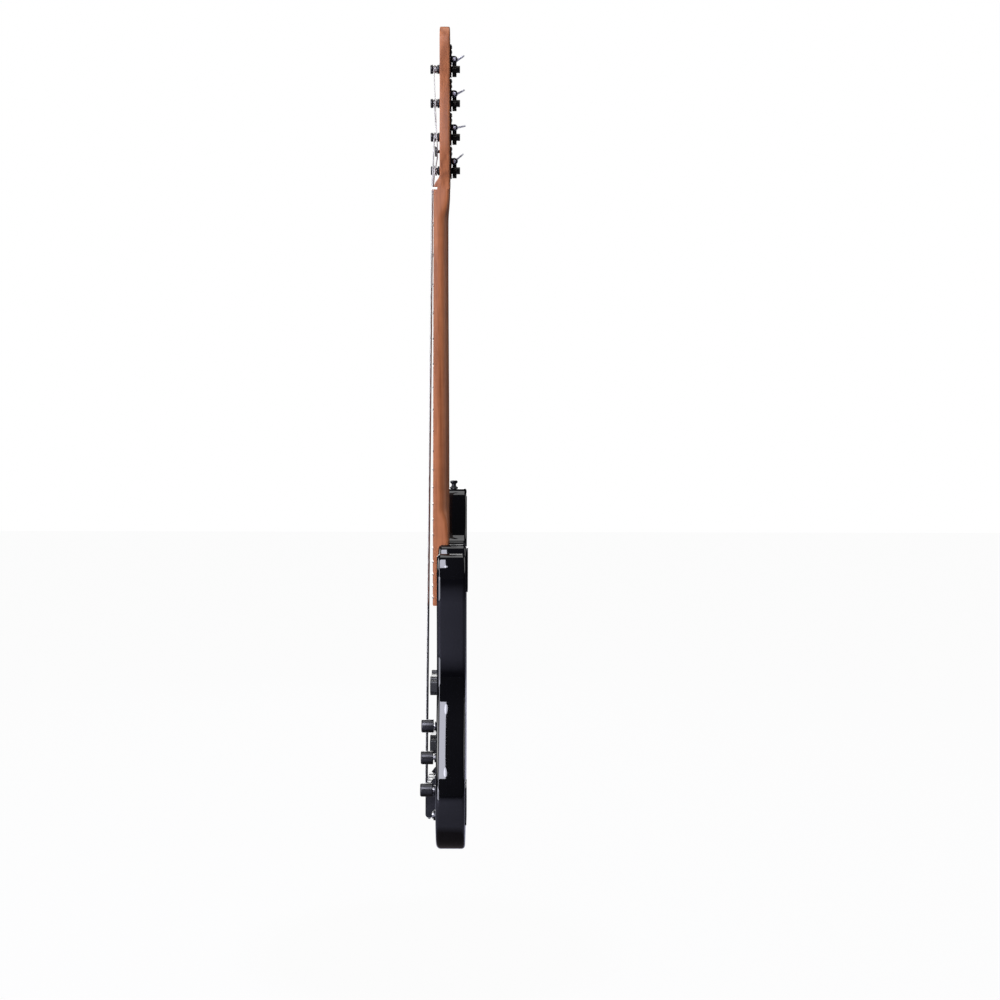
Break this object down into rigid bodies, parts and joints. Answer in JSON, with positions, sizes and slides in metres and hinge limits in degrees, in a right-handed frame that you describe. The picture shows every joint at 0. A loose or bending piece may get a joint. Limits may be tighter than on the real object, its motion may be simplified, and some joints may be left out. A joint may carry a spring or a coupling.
{
  "type": "four-string electric bass guitar",
  "caption": "Solid-body electric bass guitar with a gloss black double-cutaway body, bolt-on roasted maple neck, in-line geared tuners, bridge, pickups and controls.",
  "frame": {"origin": "centre of the fingerboard's top at the nut, where the strings start; a hanger holds the neck just above it", "axes": "+X towards the treble side, +Y towards the back, +Z along the neck towards the headstock"},
  "size_m": [0.3368, 0.0652, 1.1882],
  "materials": {
    "black_gloss": "high-gloss black lacquer over a wooden body",
    "roasted_maple": "caramel-brown roasted maple, satin clear coat",
    "roasted_maple_board": "caramel-brown roasted maple, satin clear coat",
    "black_plastic": "black moulded plastic, satin",
    "black_steel": "black-plated steel, satin gloss",
    "black_bridge": "black-plated cast metal, satin gloss",
    "knob_black": "black anodised metal, satin",
    "fret_wire": "polished nickel-silver",
    "pearloid": "off-white pearl plastic",
    "bone": "polished bone",
    "steel": "nickel-plated steel",
    "string_wound": "nickel roundwound",
    "magnet": "ground alnico",
    "copper_wire": "enamelled copper winding",
    "foam": "open-cell foam",
    "gear_bronze": "blackened brass",
    "key_satin": "satin grey plated metal",
    "battery_case": "printed tin case, plain dark grey",
    "capacitor": "dipped film capacitor",
    "wire_cloth": "cloth-covered wire",
    "felt": "black wool felt"
  },
  "bodies": {
    "instrument": {"body": "black_gloss", "control_cover": "black_plastic", "battery_cover": "black_plastic", "cover_screws": "black_steel", "battery": "battery_case", "neck": "roasted_maple", "fingerboard": "roasted_maple_board", "frets": "fret_wire", "position_dots": "pearloid", "nut": "bone", "truss_rod": "steel", "neck_plate": "black_steel", "neck_screws": "black_steel", "string_tree": "black_steel", "tree_screw": "black_steel", "tuner_ferrules": "black_steel", "tuner_plates": "black_steel", "plate_screws": "black_steel", "string_e": "string_wound", "string_a": "string_wound", "string_d": "string_wound", "string_g": "string_wound", "bridge_base": "black_bridge", "bridge_screws": "black_steel", "saddles": "black_bridge", "height_screws": "steel", "intonation_screws": "steel", "saddle_springs": "steel", "front_pickup_cover": "black_plastic", "rear_pickup_cover": "black_plastic", "pole_magnets": "magnet", "pickup_coils": "copper_wire", "pickup_foam": "foam", "pickup_screws": "black_steel", "pot_casings": "steel", "panel_nuts": "black_steel", "jack_socket": "steel", "capacitor": "capacitor", "wiring": "wire_cloth", "strap_buttons": "black_steel", "strap_button_screws": "steel", "felt_washers": "felt"},
    "key_e": {"tuning_key_e": "key_satin"},
    "post_e": {"tuner_post_e": "black_steel", "tuner_gear_e": "gear_bronze"},
    "key_a": {"tuning_key_a": "key_satin"},
    "post_a": {"tuner_post_a": "black_steel", "tuner_gear_a": "gear_bronze"},
    "key_d": {"tuning_key_d": "key_satin"},
    "post_d": {"tuner_post_d": "black_steel", "tuner_gear_d": "gear_bronze"},
    "key_g": {"tuning_key_g": "key_satin"},
    "post_g": {"tuner_post_g": "black_steel", "tuner_gear_g": "gear_bronze"},
    "control_volume_front": {"knob_volume_front": "knob_black", "pot_shaft_volume_front": "steel"},
    "control_volume_rear": {"knob_volume_rear": "knob_black", "pot_shaft_volume_rear": "steel"},
    "control_tone": {"knob_tone": "knob_black", "pot_shaft_tone": "steel"}
  },
  "joints": [
    {"name": "key_turn_e", "type": "hinge", "parent": "instrument", "child": "key_e", "pos_m": [-0.06518, 0.0303, 0.05854], "axis": [-0.9792, 0, 0.2028], "continuous": true},
    {"name": "post_turn_e", "type": "hinge", "parent": "instrument", "child": "post_e", "pos_m": [-0.022, 0.0303, 0.0353], "axis": [0, 1, 0], "continuous": true},
    {"name": "key_turn_a", "type": "hinge", "parent": "instrument", "child": "key_a", "pos_m": [-0.05537, 0.0303, 0.10593], "axis": [-0.9792, 0, 0.2028], "continuous": true},
    {"name": "post_turn_a", "type": "hinge", "parent": "instrument", "child": "post_a", "pos_m": [-0.01219, 0.0303, 0.08269], "axis": [0, 1, 0], "continuous": true},
    {"name": "key_turn_d", "type": "hinge", "parent": "instrument", "child": "key_d", "pos_m": [-0.04555, 0.0303, 0.15333], "axis": [-0.9792, 0, 0.2028], "continuous": true},
    {"name": "post_turn_d", "type": "hinge", "parent": "instrument", "child": "post_d", "pos_m": [-0.00237, 0.0303, 0.13009], "axis": [0, 1, 0], "continuous": true},
    {"name": "key_turn_g", "type": "hinge", "parent": "instrument", "child": "key_g", "pos_m": [-0.03574, 0.0303, 0.20072], "axis": [-0.9792, 0, 0.2028], "continuous": true},
    {"name": "post_turn_g", "type": "hinge", "parent": "instrument", "child": "post_g", "pos_m": [0.00744, 0.0303, 0.17748], "axis": [0, 1, 0], "continuous": true},
    {"name": "turn_volume_front", "type": "hinge", "parent": "instrument", "child": "control_volume_front", "pos_m": [0.06, -0.0055, -0.771], "axis": [0, 1, 0], "range_deg": [-300, 0]},
    {"name": "turn_volume_rear", "type": "hinge", "parent": "instrument", "child": "control_volume_rear", "pos_m": [0.08, -0.0055, -0.812], "axis": [0, 1, 0], "range_deg": [-300, 0]},
    {"name": "turn_tone", "type": "hinge", "parent": "instrument", "child": "control_tone", "pos_m": [0.1, -0.0055, -0.853], "axis": [0, 1, 0], "range_deg": [-300, 0]}
  ],
  "couplings": [
    {"joint": "post_turn_e", "follows": "key_turn_e", "ratio": 0.05},
    {"joint": "post_turn_a", "follows": "key_turn_a", "ratio": 0.05},
    {"joint": "post_turn_d", "follows": "key_turn_d", "ratio": 0.05},
    {"joint": "post_turn_g", "follows": "key_turn_g", "ratio": 0.05}
  ]
}
